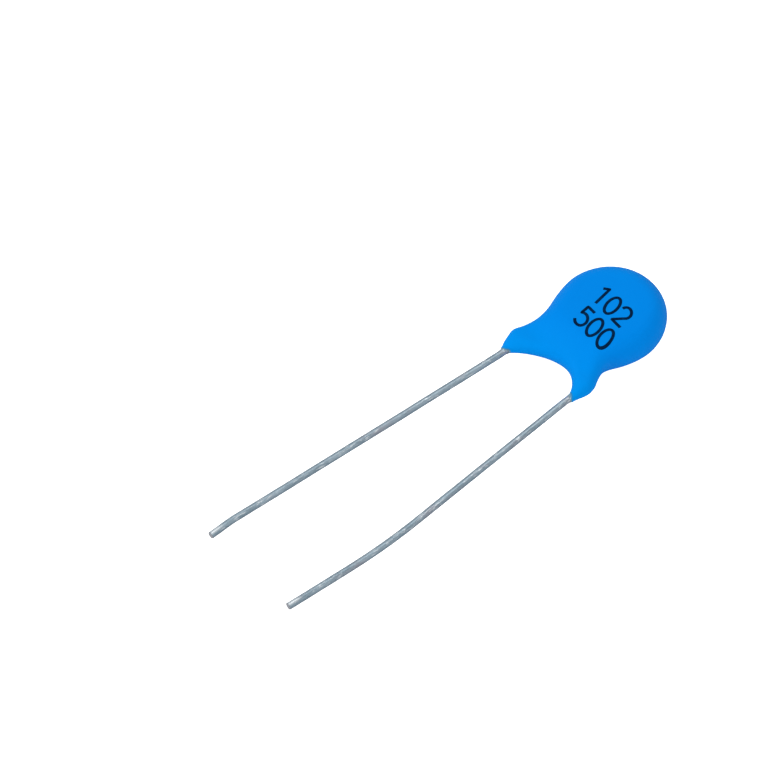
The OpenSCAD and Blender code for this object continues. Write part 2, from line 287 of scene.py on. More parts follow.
def soft_lamp(name, at, size, power):
    """A square lamp that points at the part."""
    data = bpy.data.lights.new(name, "AREA")
    data.shape = "SQUARE"
    data.size = size
    data.energy = power
    lamp = bpy.data.objects.new(name, data)
    lamp.location = at
    lamp.rotation_euler = (-Vector(at)).to_track_quat("-Z", "Y").to_euler()
    scene.collection.objects.link(lamp)


for name, (at, size, power) in LAMPS.items():
    soft_lamp(name, at, size, power)

room = bpy.data.worlds.new("pale_room")
room.use_nodes = True
fill(room.node_tree.nodes["Background"], "Color", (0.93, 0.97, 1.0, 1))
fill(room.node_tree.nodes["Background"], "Strength", 0.55)
scene.world = room
scene.view_settings.view_transform = "Standard"  # white paper stays white, and the blue stays strong

# %% [markdown]
# ## Effects that several finishes share
# Resin, solder, ceramic and tin all have a fine unevenness, and what is handled gets scuffed. The
# same broken lines also serve for painted glints and painted sheen. Each effect is a shader node
# group, so that it is built once and used with other values. A group puts out only a mask or a
# height, and the shader itself stays in each material.

# %% Build the fine grain
def build_fine_grain():
    """Noise in two sizes, broad and fine. The vector is in millimetres."""
    how_much_finer = 4.3
    tree, given, result = new_tree(
        "fine_grain", "ShaderNodeTree",
        [("Vector", "NodeSocketVector", None), ("Grains per mm", "NodeSocketFloat", 4.0),
         ("Fine share", "NodeSocketFloat", 0.4)],
        [("Mask", "NodeSocketFloat", None)])
    scale = given["Grains per mm"]
    fine_scale = calculate(tree, "MULTIPLY", scale, how_much_finer)
    broad = add(tree, "ShaderNodeTexNoise", {"Vector": given["Vector"], "Scale": scale, "Detail": 2.0})
    fine = add(tree, "ShaderNodeTexNoise",
               {"Vector": given["Vector"], "Scale": fine_scale, "Detail": 3.0})
    mixed = add(tree, "ShaderNodeMix", {"Factor": given["Fine share"], "A": broad, "B": fine},
                data_type="FLOAT")
    fill(result, "Mask", mixed)
    return tree


FINE_GRAIN = build_fine_grain()
print("effect:", FINE_GRAIN.name)

# %% Build the scuffs
def build_scuffs_and_glints():
    """Thin broken lines: scuff marks where something has rubbed, and painted glints and sheen. Stretch
    draws them out along one axis.
    """
    patches_per_mm = 0.9
    unscuffed_limit = 0.78  # the lines' noise seldom gets past this
    sharpness = 8.0
    tree, given, result = new_tree(
        "scuffs_and_glints", "ShaderNodeTree",
        [("Vector", "NodeSocketVector", None), ("Lines per mm", "NodeSocketFloat", 12.0),
         ("Stretch", "NodeSocketVector", (1.0, 0.1, 1.0)), ("Amount", "NodeSocketFloat", 0.3)],
        [("Mask", "NodeSocketFloat", None)])
    drawn = vectors(tree, "MULTIPLY", given["Vector"], given["Stretch"])
    lines = add(tree, "ShaderNodeTexNoise",
                {"Vector": drawn, "Scale": given["Lines per mm"], "Detail": 3.0})
    patches = add(tree, "ShaderNodeTexNoise", {"Vector": given["Vector"], "Scale": patches_per_mm})
    lowered = calculate(tree, "MULTIPLY", given["Amount"], patches)
    over = calculate(tree, "SUBTRACT", lines, calculate(tree, "SUBTRACT", unscuffed_limit, lowered))
    fill(result, "Mask", calculate(tree, "MULTIPLY", over, sharpness, clamp=True))
    return tree


SCUFFS_AND_GLINTS = build_scuffs_and_glints()
print("effect:", SCUFFS_AND_GLINTS.name)

# %% Use an effect in a material
def effect(tree, group, **values):
    """Place a shared effect in a material's tree and return its mask."""
    names = {key.replace("_", " "): value for key, value in values.items()}
    return add(tree, "ShaderNodeGroup", names, node_tree=group)


def in_mm(tree, place):
    return vectors(tree, "SCALE", place, scale=1 / MM)


def dent(tree, height, depth_mm):
    """A bump made from a height mask."""
    return add(tree, "ShaderNodeBump", {"Distance": depth_mm * MM, "Height": height})


def from_note(tree, name, give="Fac"):
    """A named attribute of the surface, as a number or as a vector."""
    return add(tree, "ShaderNodeAttribute", attribute_name=name, give=give)


print("shared effects:", FINE_GRAIN.name, SCUFFS_AND_GLINTS.name)

# %% [markdown]
# ## Middle lines of the leads
# Two later steps follow the leads: the resin climbs a little way along each, and the wires are
# swept anew. The route could be typed in again, but a slice across the CAD lead's own mesh gives
# its middle there, so a change of route needs no change here.

# %% Measure the middle line of each lead
SLICE = 0.1      # millimetres between slices
END_SPAN = 0.15  # a flat end face lies within this much of the lead's lowest or highest y


def middle_of(points):
    return (points.min(axis=0) + points.max(axis=0)) / 2


def middle_line(solid):
    """Points along the middle of a lead, found by slicing its mesh across its length."""
    points = np.array([vertex.co for vertex in solid.data.vertices]) / MM
    ends = np.array([edge.vertices[:] for edge in solid.data.edges])
    a, b = points[ends[:, 0]], points[ends[:, 1]]
    low, high = points[:, 1].min() + END_SPAN, points[:, 1].max() - END_SPAN
    line = [middle_of(points[points[:, 1] > high])]
    for y in np.arange(high - END_SPAN, low + END_SPAN, -SLICE):
        cut = (a[:, 1] - y) * (b[:, 1] - y) < 0
        share = (y - a[cut, 1]) / (b[cut, 1] - a[cut, 1])
        line.append(middle_of(a[cut] + (b[cut] - a[cut]) * share[:, None]))
    line.append(middle_of(points[points[:, 1] < low]))
    return np.array(line)


def steps_along(line):
    """The length of each step from point to point."""
    return np.linalg.norm(np.diff(line, axis=0), axis=1)


lead_lines = {name: middle_line(solids[name]) for name in ("left_lead", "right_lead")}
for name, line in lead_lines.items():
    print(name, "length in mm:", round(float(steps_along(line).sum()), 2))

# %% Find where each lead leaves the resin
TOE_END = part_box("coating")[0][1] / MM  # the resin reaches down to this y


def leaves_resin(line):
    """Length of a lead, in millimetres, from its inner end to where it comes out of the resin."""
    return float(steps_along(line)[line[1:, 1] > TOE_END].sum())


for name, line in lead_lines.items():
    print(name, "is in resin for", round(leaves_resin(line), 2), "mm")

# %% [markdown]
# ## Skin of the resin
# Dipped resin has no edges at all: surface tension pulls it smooth, it sags a little, and it thins
# out down the wires. The CAD solid has the right form but is made of flat facets. It could be
# subdivided, but its long facets would leave ripples. Instead the outer surface is taken from a
# copy, closed where the wires come out, remeshed evenly, and relaxed, as the liquid was. A row of
# shrinking beads round each wire merges with it in the remesh, as the collar that resin leaves
# where it climbs the wire.

# %% Take the outer surface from a copy of the coating
SHARP_TURN = math.radians(55)  # the resin's own surface never turns this sharply from face to face
JOIN_WITHIN = 1e-5  # millimetres: corners this close are one corner


def outer_faces(shape):
    """The faces that can be reached from the top one without crossing a sharp edge."""
    start = max(shape.faces, key=lambda face: face.calc_center_median().z)
    skin, edge_of_growth = {start}, [start]
    while edge_of_growth:
        face = edge_of_growth.pop()
        for edge in face.edges:
            for other in edge.link_faces:
                if other not in skin and face.normal.angle(other.normal, 0) < SHARP_TURN:
                    skin.add(other)
                    edge_of_growth.append(other)
    return skin


def outer_surface(solid):
    """A copy of the solid, in millimetres, without the hollow that the inside fills."""
    shape = bmesh.new()
    shape.from_mesh(solid.data)
    bmesh.ops.scale(shape, vec=(1 / MM,) * 3, verts=shape.verts)
    bmesh.ops.remove_doubles(shape, verts=shape.verts, dist=JOIN_WITHIN)
    skin = outer_faces(shape)
    bmesh.ops.delete(shape, geom=[face for face in shape.faces if face not in skin], context="FACES")
    bmesh.ops.holes_fill(shape, edges=[edge for edge in shape.edges if edge.is_boundary], sides=0)
    bmesh.ops.recalc_face_normals(shape, faces=shape.faces)
    return shape


skin_shape = outer_surface(solids["coating"])
print("outer faces:", len(skin_shape.faces))

# %% Add the collars, where the resin climbs the wires
WIRE_RADIUS = 0.275  # millimetres
BEAD_STEP = 0.05    # millimetres from bead to bead
BEADS_FROM = 0.4    # millimetres inside the toe, where the first bead sits
LAST_FILM = 0.015   # millimetres of resin where a collar ends
COLLARS = {  # length along the wire, thickness at the toe, and sag towards +X, in millimetres
    "left_lead": (0.38, 0.11, -0.03),
    "right_lead": (0.15, 0.06, 0.045),
}


def add_collar(shape, line, length, thickness, sag):
    """Beads along a lead, from inside the toe to where the resin ends."""
    for y in np.arange(TOE_END + BEADS_FROM, TOE_END - length, -BEAD_STEP):
        at = Vector([float(np.interp(-y, -line[:, 1], line[:, axis])) for axis in range(3)])
        share = min(1, (y - TOE_END + length) / length)
        radius = WIRE_RADIUS + thickness * share ** 2 + LAST_FILM
        bmesh.ops.create_icosphere(shape, subdivisions=3, radius=radius,
                                   matrix=Matrix.Translation(at + Vector((sag * share, 0, 0))))


for name, sizes in COLLARS.items():
    add_collar(skin_shape, lead_lines[name], *sizes)
skin_mesh = bpy.data.meshes.new("resin")
skin_shape.to_mesh(skin_mesh)
skin_shape.free()
print("faces with the collars:", len(skin_mesh.polygons))

# %% [markdown]
# ## Settling
# The remeshed skin is blurred by averaging each point with its neighbours, which is what surface
# tension does. Then it gets broad low waves from a noise, and a little more or less resin in the
# places where it gathered while it set. Geometry Nodes hold all of this as one rule with named
# inputs, so another dip needs only another seed. The rule also notes how thin the resin is over
# the wires, for the material.

# %% Say where resin gathered
GATHERED = (  # where more resin stayed, or less: place, reach and greatest height in millimetres
    ("Right flank", (5.30, 10.8, 1.56), 1.4, 0.10),
    ("Right hollow", (5.25, 12.4, 1.30), 1.5, -0.15),
    ("Right toe", (5.60, 9.2, 1.40), 0.8, 0.06),
    ("Right exit", (5.25, 8.5, 1.35), 0.6, -0.03),
    ("Right of arch", (3.90, 9.2, 1.52), 1.4, 0.04),
    ("Left of arch", (0.3, 9.2, 1.52), 2.2, 0.09),
    ("Left flank", (-2.35, 10.9, 1.60), 1.3, 0.05),
    ("Left exit", (-1.48, 7.7, 1.46), 0.9, -0.165),
    ("Left toe", (-2.40, 8.5, 1.50), 0.9, 0.045),
    ("Far rim", (0.3, 20.20, 2.0), 3.5, 0.045),
    ("Right rim", (5.75, 17.6, 1.9), 2.6, -0.03),
)


def gathered_resin(tree, given):
    """How far the skin goes out sideways: its swell everywhere, and more or less at each place."""
    sideways = given["Swell mm"]
    for name, _, reach, most in GATHERED:
        away = vectors(tree, "DISTANCE", add(tree, "GeometryNodeInputPosition"), given[name])
        here = between(tree, away, reach, 0.0, 0.0, most, smooth=True)
        sideways = calculate(tree, "ADD", sideways, here)
    return sideways


print("places where resin gathered:", len(GATHERED))

# %% Let the resin settle, with Geometry Nodes
def build_settled_resin():
    tree, given, result = new_tree(
        "settled_resin", "GeometryNodeTree",
        [("Geometry", "NodeSocketGeometry", None), ("Relax steps", "NodeSocketInt", 8),
         ("Swell mm", "NodeSocketFloat", 0.013), ("Wave height mm", "NodeSocketFloat", 0.03),
         ("Waves per mm", "NodeSocketFloat", 0.3), ("Seed", "NodeSocketInt", 5),
         *((name, "NodeSocketVector", place) for name, place, _, _ in GATHERED),
         ("Left lead", "NodeSocketObject", None), ("Right lead", "NodeSocketObject", None),
         ("Material", "NodeSocketMaterial", None)],
        [("Geometry", "NodeSocketGeometry", None)])
    relaxed = add(tree, "GeometryNodeBlurAttribute",
                  {"Value": add(tree, "GeometryNodeInputPosition"), "Iterations": given["Relax steps"]},
                  data_type="FLOAT_VECTOR")
    smooth = add(tree, "GeometryNodeSetPosition", {"Geometry": given["Geometry"], "Position": relaxed})

    # waves move the skin along its normal, and gathered resin only sideways
    noise = add(tree, "ShaderNodeTexNoise",
                {"W": given["Seed"], "Scale": given["Waves per mm"], "Detail": 1.0},
                noise_dimensions="4D")
    height = calculate(tree, "MULTIPLY", from_middle(tree, noise), given["Wave height mm"])
    normal = add(tree, "GeometryNodeInputNormal")
    waves = vectors(tree, "SCALE", normal, scale=height)
    bulges = vectors(tree, "SCALE", vectors(tree, "MULTIPLY", normal, (1, 1, 0)),
                     scale=gathered_resin(tree, given))
    wavy = add(tree, "GeometryNodeSetPosition",
               {"Geometry": smooth, "Offset": vectors(tree, "ADD", waves, bulges)})

    # the material needs to know how much resin lies over a wire
    wires = joined(tree, *(add(tree, "GeometryNodeObjectInfo", {"Object": given[name]}, give="Geometry")
                           for name in ("Left lead", "Right lead")))
    over_wire = add(tree, "GeometryNodeProximity", {"Geometry": wires}, give="Distance")
    settled = noted(tree, in_metres(tree, wavy), "over_wire_mm", calculate(tree, "DIVIDE", over_wire, MM))
    shaded = add(tree, "GeometryNodeSetShadeSmooth", {"Geometry": settled})
    ends_as_mesh(tree, shaded, given["Material"], result)
    return tree


settling_rule = build_settled_resin()
print("settling rule:", len(settling_rule.nodes), "nodes")

# %% [markdown]
# ## Blue resin
# The resin is opaque and strongly coloured, with a low satin shine. A flat blue would look like
# plastic foil: real resin is a little uneven in tone and has a fine orange-peel surface. The shine
# is kept low and tinted on the shader's own sockets, so that the blue stays deep.

# %% Mix the resin's colour
FULL_BLUES = (0.0005, 0.237, 0.79, 1), (0.0005, 0.263, 0.84, 1)
PAINTED_LIGHT_LEG_BLUE = (0.0005, 0.288, 0.85, 1)
LEGS_FROM, LEGS_TO = 12.5, 8.5        # y in millimetres: over this span the blue turns lighter and greener, painted light on the legs
DARK_THIN_BLUE = (0.02, 0.23, 0.46, 1)
DARKER_FROM, DARKER_TO = 0.10, 0.065    # millimetres of resin over a wire that look dark and green
# the dark grey is the wire under thin resin, and the light grey is painted sheen on it
WIRE_GREY_AND_SHEEN = (0.26, 0.32, 0.33, 1), (0.55, 0.74, 0.80, 1)
FILM_FROM, FILM_TO = 0.075, 0.03      # millimetres of resin that the grey shows through
MOST_GREY = 0.9


def resin_colour(tree, place):
    """Blue with painted light, lighter and greener down the legs, and dark and then grey where it is thin
    over a wire. The grey has light streaks of painted sheen.
    """
    tone = effect(tree, FINE_GRAIN, Vector=place, Grains_per_mm=0.35, Fine_share=0.3)
    along = add(tree, "ShaderNodeSeparateXYZ", {0: place}, give="Y")
    # painted light: the blue turns lighter and greener down the legs
    blue = blend(tree, between(tree, along, LEGS_FROM, LEGS_TO), blend(tree, tone, *FULL_BLUES), PAINTED_LIGHT_LEG_BLUE)
    over_wire = from_note(tree, "over_wire_mm")
    # the blue turns darker and greener where the resin is thin over a wire
    darker_over_wire = between(tree, over_wire, DARKER_FROM, DARKER_TO)
    film = between(tree, over_wire, FILM_FROM, FILM_TO, 0.0, MOST_GREY)
    # light streaks of painted sheen in the grey where the wire shows through
    painted_sheen_streaks = effect(tree, SCUFFS_AND_GLINTS, Vector=place, Lines_per_mm=7.0, Stretch=(1, 0.25, 1), Amount=0.6)
    return blend(tree, film, blend(tree, darker_over_wire, blue, DARK_THIN_BLUE), blend(tree, painted_sheen_streaks, *WIRE_GREY_AND_SHEEN))


resin, tree, shader, place = new_material("blue_resin")
place = in_mm(tree, place)
fill(shader, "Base Color", resin_colour(tree, place))
peel = effect(tree, FINE_GRAIN, Vector=place, Grains_per_mm=2.5, Fine_share=0.35)
fill(shader, "Normal", dent(tree, peel, 0.012))
fill(shader, "Roughness", between(tree, peel, 0.0, 1.0, 0.32, 0.48))
fill(shader, "Specular IOR Level", 0.03)
fill(shader, "Specular Tint", (0.1, 0.5, 1.0, 1))
print(resin.name, "nodes:", len(tree.nodes))

# %% Skin the part with it
VOXEL = 0.055  # millimetres


def remesh_evenly(source):
    even = source.modifiers.new("even_mesh", "REMESH")
    even.mode = "VOXEL"
    even.voxel_size = VOXEL


skin = grown(skin_mesh, settling_rule,
             {"Relax steps": 8, "Swell mm": 0.013, "Wave height mm": 0.03, "Waves per mm": 0.3, "Seed": 5,
              "Left lead": solids["left_lead"], "Right lead": solids["right_lead"],
              **{name: place for name, place, _, _ in GATHERED},
              "Material": resin}, "resin_skin", before=remesh_evenly)
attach(skin, "root")
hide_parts("coating")

# %% [markdown]
# ## Printed figures
# The value of a capacitor is printed on its face as plain digits. A font could be used, but a
# stamp's figures are simple strokes of one width, so each is drawn as a few lines and bows in a
# box one unit high. The ink is a thin ribbon along each stroke, dropped onto the skin and closed
# to a film, because a sheet without thickness is no use in a mesh file.

# %% Draw the strokes of the figures
STROKE = 0.235         # width in millimetres
FIGURE_HEIGHT = 1.72   # in millimetres, as the next ones
FIGURE_STEP = 1.27     # from one figure to the next
LINE_TURN = math.radians(-8.5)   # direction of a row of figures
STEM_TURN = math.radians(93.5)   # direction of an upright stroke
ROWS_OF_FIGURES = (("102", (-1.36, -0.80)), ("500", (-0.97, -3.20)))  # from the disc's middle
CLOSED_WITHIN = 1e-6   # a stroke whose ends are this close is a ring


def bow(middle, radii, start, end, steps=18):
    """Points on part of an ellipse, from one angle in degrees to another."""
    return [(middle[0] + radii[0] * math.cos(angle), middle[1] + radii[1] * math.sin(angle))
            for angle in np.radians(np.linspace(start, end, steps))]


FIGURES = {
    "0": [bow((0.30, 0.50), (0.28, 0.50), 90, 450, 36)],
    "1": [[(0.10, 0.80), (0.36, 1.00), (0.36, 0.00)]],
    "2": [bow((0.29, 0.71), (0.27, 0.29), 170, -35) + [(0.02, 0.00), (0.60, 0.00)]],
    "5": [[(0.54, 1.00), (0.09, 1.00), (0.06, 0.56)] + bow((0.27, 0.33), (0.31, 0.33), 128, -145)],
}
print("figures drawn:", ", ".join(FIGURES))

# %% Set the figures in two rows
def direction(angle):
    return np.array((math.cos(angle), math.sin(angle)))


def strokes_mesh():
    """All strokes as chains of edges, in millimetres, flat at height 0."""
    middle = Vector(sum(np.array(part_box("ceramic_disc"))) / 2 / MM)
    along, up = direction(LINE_TURN) * FIGURE_HEIGHT, direction(STEM_TURN) * FIGURE_HEIGHT
    points, edges = [], []
    for figures, corner in ROWS_OF_FIGURES:
        for number, figure in enumerate(figures):
            start = np.array(corner) + middle.xy + along * number * FIGURE_STEP / FIGURE_HEIGHT
            for stroke in FIGURES[figure]:
                first = len(points)
                closed = math.dist(stroke[0], stroke[-1]) < CLOSED_WITHIN
                corners = stroke[:-1] if closed else stroke
                points += [(*(start + along * x + up * y), 0) for x, y in corners]
                edges += [(k, k + 1) for k in range(first, len(points) - 1)]
                if closed:
                    edges.append((len(points) - 1, first))
    mesh = bpy.data.meshes.new("strokes")
    mesh.from_pydata(points, edges, [])
    return mesh


stroke_lines = strokes_mesh()
print("points in the strokes:", len(stroke_lines.vertices))

# %% Give the strokes a pen's width, with Geometry Nodes
PEN_STEP = 0.035   # millimetres from point to point along a stroke
PEN_POINTS = 5     # points across a stroke
BLUNT_TIP = 0.02   # keeps the last point of a stroke from shrinking to nothing


def pen_width(tree, given, half):
    """A stroke's share of its full width: half a circle at each end, and a little uneven between."""
    run = add(tree, "GeometryNodeSplineParameter", give="Length")
    left = calculate(tree, "SUBTRACT", add(tree, "GeometryNodeSplineLength"), run)
    share = calculate(tree, "DIVIDE", calculate(tree, "MINIMUM", run, left), half, clamp=True)
    inset = calculate(tree, "SUBTRACT", 1, share)
    inset_squared = calculate(tree, "MULTIPLY", inset, inset)
    tip = calculate(tree, "SQRT", calculate(tree, "SUBTRACT", 1 + BLUNT_TIP, inset_squared))
    tip = calculate(tree, "MAXIMUM", tip, add(tree, "GeometryNodeInputSplineCyclic"))
    noise = add(tree, "ShaderNodeTexNoise", {"W": given["Seed"], "Scale": 2.2, "Detail": 2.0},
                noise_dimensions="4D")
    wander = calculate(tree, "MULTIPLY", from_middle(tree, noise), given["Unevenness"])
    return calculate(tree, "MULTIPLY", tip, calculate(tree, "MULTIPLY_ADD", wander, 2, 1))


def flat_ribbons(tree, given):
    """A level ribbon along every stroke, still at height 0."""
    lines = add(tree, "GeometryNodeMeshToCurve", {"Mesh": given["Geometry"]})
    lines = add(tree, "GeometryNodeResampleCurve", {"Curve": lines, "Length": PEN_STEP}, mode="LENGTH")
    lines = add(tree, "GeometryNodeSetCurveNormal", {"Curve": lines}, mode="Z_UP")
    half = calculate(tree, "DIVIDE", given["Stroke width mm"], 2)
    lines = add(tree, "GeometryNodeSetCurveRadius",
                {"Curve": lines, "Radius": pen_width(tree, given, half)})
    pen = add(tree, "GeometryNodeCurvePrimitiveLine",
              {"Start": vector_of(tree, X=calculate(tree, "MULTIPLY", half, -1)),
               "End": vector_of(tree, X=half)})
    pen = add(tree, "GeometryNodeResampleCurve", {"Curve": pen, "Count": PEN_POINTS})
    return add(tree, "GeometryNodeCurveToMesh", {"Curve": lines, "Profile Curve": pen})


print("stroke width in mm:", STROKE)

# %% Lay the strokes on the skin as a film of ink
DROP_FROM = 0.01   # metres, higher than the part
SAME_PLACE = 1e-8  # metres: points this close are one point
FLAT_ENOUGH = 0.5  # faces that look up this much are the top of the film, which is shaded smooth


def closed_film(tree, given, ribbons):
    """The ribbons on the skin, as deep in it as they stand above it, with their sides and bottom."""
    above = vectors(tree, "ADD", add(tree, "GeometryNodeInputPosition"), (0, 0, DROP_FROM))
    skin = add(tree, "GeometryNodeObjectInfo", {"Object": given["Skin"]}, give="Geometry")
    fall = add(tree, "GeometryNodeRaycast",
               {"Target Geometry": skin, "Source Position": above, "Ray Direction": (0, 0, -1)},
               give="Hit Position")
    lift = vector_of(tree, Z=calculate(tree, "MULTIPLY", given["Lift mm"], MM))
    bottom = add(tree, "GeometryNodeSetPosition",
                 {"Geometry": ribbons, "Position": vectors(tree, "SUBTRACT", fall, lift)})
    raised = add(tree, "GeometryNodeExtrudeMesh",
                 {"Mesh": bottom, "Offset": vectors(tree, "SCALE", lift, scale=2), "Individual": False})
    film = joined(tree, raised, add(tree, "GeometryNodeFlipFaces", {"Mesh": bottom}))
    return add(tree, "GeometryNodeMergeByDistance", {"Geometry": film, "Distance": SAME_PLACE})


def build_inked_strokes():
    tree, given, result = new_tree(
        "inked_strokes", "GeometryNodeTree",
        [("Geometry", "NodeSocketGeometry", None), ("Stroke width mm", "NodeSocketFloat", 0.23),
         ("Unevenness", "NodeSocketFloat", 0.1), ("Lift mm", "NodeSocketFloat", 0.012),
         ("Seed", "NodeSocketInt", 3), ("Skin", "NodeSocketObject", None),
         ("Material", "NodeSocketMaterial", None)],
        [("Geometry", "NodeSocketGeometry", None)])
    film = closed_film(tree, given, in_metres(tree, flat_ribbons(tree, given)))
    top = calculate(tree, "GREATER_THAN", facing_up(tree), FLAT_ENOUGH)
    shaded = add(tree, "GeometryNodeSetShadeSmooth", {"Geometry": film, "Selection": top})
    ends_as_mesh(tree, shaded, given["Material"], result)
    return tree


inking_rule = build_inked_strokes()
print("inking rule:", len(inking_rule.nodes), "nodes")

# %% Mix the ink and print the figures
INK_COLOURS = (0.0, 0.012, 0.046, 1), (0.0, 0.032, 0.110, 1)  # full, and where the blue shows through

ink, tree, shader, place = new_material("marking_ink")
thin_ink = effect(tree, FINE_GRAIN, Vector=in_mm(tree, place), Grains_per_mm=3.0, Fine_share=0.5)
fill(shader, "Base Color", blend(tree, between(tree, thin_ink, 0.45, 0.75), *INK_COLOURS))
fill(shader, "Roughness", between(tree, thin_ink, 0.3, 0.7, 0.5, 0.7))
fill(shader, "Normal", dent(tree, thin_ink, 0.004))
fill(shader, "Specular IOR Level", 0.03)

figures = grown(stroke_lines, inking_rule,
                {"Stroke width mm": STROKE, "Unevenness": 0.12, "Lift mm": 0.012, "Seed": 3,
                 "Skin": skin, "Material": ink}, "printed_figures")
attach(figures, "root")

# %% [markdown]
# ## Tinned wires
# The leads are drawn wire with a thin coat of tin. Handling leaves them not quite straight, with
# fine lines along their length. The CAD leads have the right route but are perfectly round and
# straight between bends. So a round section is swept along each lead's middle line again, with a
# slight wander.

# %% Bend the middle line a little, with Geometry Nodes
WIRE_STEP = 0.1              # millimetres from section to section
WANDER_IN = 1.0, 3.0         # millimetres past the resin over which the wander fades in
WANDER_OUT = 2               # millimetres before the tip where it starts to fade out


def slightly_bent(tree, given, line, past, left):
    """The line with a bow over its free length and a slow wander. Its tip keeps its place."""
    share = calculate(tree, "DIVIDE", past, calculate(tree, "ADD", past, left), clamp=True)
    rest = calculate(tree, "SUBTRACT", 1, share)
    arch = calculate(tree, "MULTIPLY", rest, calculate(tree, "MULTIPLY", share, 4))
    bowed = vectors(tree, "SCALE", given["Bow mm"], scale=arch)
    before_tip = calculate(tree, "DIVIDE", left, WANDER_OUT, clamp=True)
    fade = calculate(tree, "MULTIPLY", between(tree, past, *WANDER_IN), before_tip)
    amount = calculate(tree, "MULTIPLY", fade, given["Wander mm"])
    noise = add(tree, "ShaderNodeTexNoise",
                {"W": given["Seed"], "Scale": given["Wanders per mm"], "Detail": 1.5},
                give="Color", noise_dimensions="4D")
    swing = vectors(tree, "SUBTRACT", noise, (0.5, 0.5, 0.5))
    wander = vectors(tree, "SCALE", swing, scale=calculate(tree, "MULTIPLY", amount, 2))
    return add(tree, "GeometryNodeSetPosition",
               {"Geometry": line, "Offset": vectors(tree, "ADD", bowed, wander)})


print("sections per cm of wire:", round(10 / WIRE_STEP))

# %% Sweep a round section along the line
ROUND_STEPS = 28             # points round the section
CUT_ROUNDING = 0.04          # millimetres over which the cut edge is rounded
CUT_SHARE = 0.97             # share of the wire's width that is left at the very cut


def captured(tree, geometry, kind, values):
    """Let a geometry take values along. Returns the outputs: the geometry and each value."""
    keep = tree.nodes.new("GeometryNodeCaptureAttribute")
    fill(keep, "Geometry", geometry)
    for title, value in values.items():
        keep.capture_items.new(kind, title)
        fill(keep, title, value)
    return keep.outputs


def swept_wire(tree, given, line, run, past, left):
    """A round wire along the line. Returns it with what its line and its section took along."""
    pinch = between(tree, left, 0.0, CUT_ROUNDING, CUT_SHARE, 1.0)
    line = add(tree, "GeometryNodeSetCurveRadius", {"Curve": line, "Radius": pinch})
    lengths = captured(tree, line, "FLOAT", {"Run": run, "Past resin": past, "To tip": left})
    circle = add(tree, "GeometryNodeCurvePrimitiveCircle",
                 {"Resolution": ROUND_STEPS, "Radius": given["Radius mm"]})
    section = captured(tree, circle, "VECTOR", {"Place": add(tree, "GeometryNodeInputPosition")})
    wire = add(tree, "GeometryNodeCurveToMesh",
               {"Curve": lengths["Geometry"], "Profile Curve": section["Geometry"], "Fill Caps": True})
    return wire, lengths, section["Place"]


print("faces round a wire:", ROUND_STEPS)

# %% Note on the wire what its finish needs
FACE_CORNERS = 4.5           # only the two cut faces have more corners than this
WIRES_APART = 40.0           # so that no two wires share a pattern


def cut_faces(tree):
    """1 on the two cut faces of a wire and 0 on its side."""
    corners = add(tree, "GeometryNodeInputMeshFaceNeighbors", give="Vertex Count")
    return calculate(tree, "GREATER_THAN", corners, FACE_CORNERS)


def with_notes(tree, given, wire, lengths, section):
    """Three notes: a place in the straightened wire, how far along and how level, and the cut faces."""
    across = tree.nodes.new("ShaderNodeSeparateXYZ")
    fill(across, 0, section)
    along = calculate(tree, "MULTIPLY_ADD", given["Seed"], WIRES_APART, lengths["Run"])
    straight = vector_of(tree, X=across.outputs["X"], Y=across.outputs["Y"], Z=along)
    wire = noted(tree, wire, "straight_place", straight, kind="FLOAT_VECTOR")
    measures = vector_of(tree, X=lengths["Past resin"], Y=lengths["To tip"], Z=facing_up(tree))
    wire = noted(tree, wire, "out_tip_up", measures, kind="FLOAT_VECTOR")
    return noted(tree, wire, "cut_face", cut_faces(tree), domain="FACE")


print("notes on a wire: straight_place, out_tip_up, cut_face")

# %% Put the wire together
LUMPS_PER_MM = 1.6
LUMP_HEIGHT = 0.02           # millimetres


def build_drawn_wire():
    tree, given, result = new_tree(
        "drawn_wire", "GeometryNodeTree",
        [("Geometry", "NodeSocketGeometry", None), ("Radius mm", "NodeSocketFloat", 0.275),
         ("Leaves resin at mm", "NodeSocketFloat", 9.0), ("Bow mm", "NodeSocketVector", (0.0, 0.0, 0.0)),
         ("Wander mm", "NodeSocketFloat", 0.03), ("Wanders per mm", "NodeSocketFloat", 0.2),
         ("Seed", "NodeSocketInt", 1), ("Material", "NodeSocketMaterial", None)],
        [("Geometry", "NodeSocketGeometry", None)])
    line = add(tree, "GeometryNodeMeshToCurve", {"Mesh": given["Geometry"]})
    line = add(tree, "GeometryNodeResampleCurve", {"Curve": line, "Length": WIRE_STEP}, mode="LENGTH")
    run = add(tree, "GeometryNodeSplineParameter", give="Length")
    left = calculate(tree, "SUBTRACT", add(tree, "GeometryNodeSplineLength"), run)
    past = calculate(tree, "SUBTRACT", run, given["Leaves resin at mm"])
    line = slightly_bent(tree, given, line, past, left)
    wire, lengths, section = swept_wire(tree, given, line, run, past, left)
    wire = with_notes(tree, given, wire, lengths, section)

    # the tin itself is a little lumpy
    lumps = add(tree, "ShaderNodeTexNoise", {"Scale": LUMPS_PER_MM, "Detail": 2.0})
    swell = calculate(tree, "MULTIPLY", from_middle(tree, lumps), LUMP_HEIGHT)
    outwards = vectors(tree, "SCALE", add(tree, "GeometryNodeInputNormal"), scale=swell)
    lumpy = add(tree, "GeometryNodeSetPosition", {"Geometry": wire, "Offset": outwards})
    side = calculate(tree, "SUBTRACT", 1, cut_faces(tree))
    shaded = add(tree, "GeometryNodeSetShadeSmooth",
                 {"Geometry": in_metres(tree, lumpy), "Selection": side})
    ends_as_mesh(tree, shaded, given["Material"], result)
    return tree


wire_rule = build_drawn_wire()
print("wire rule:", len(wire_rule.nodes), "nodes")
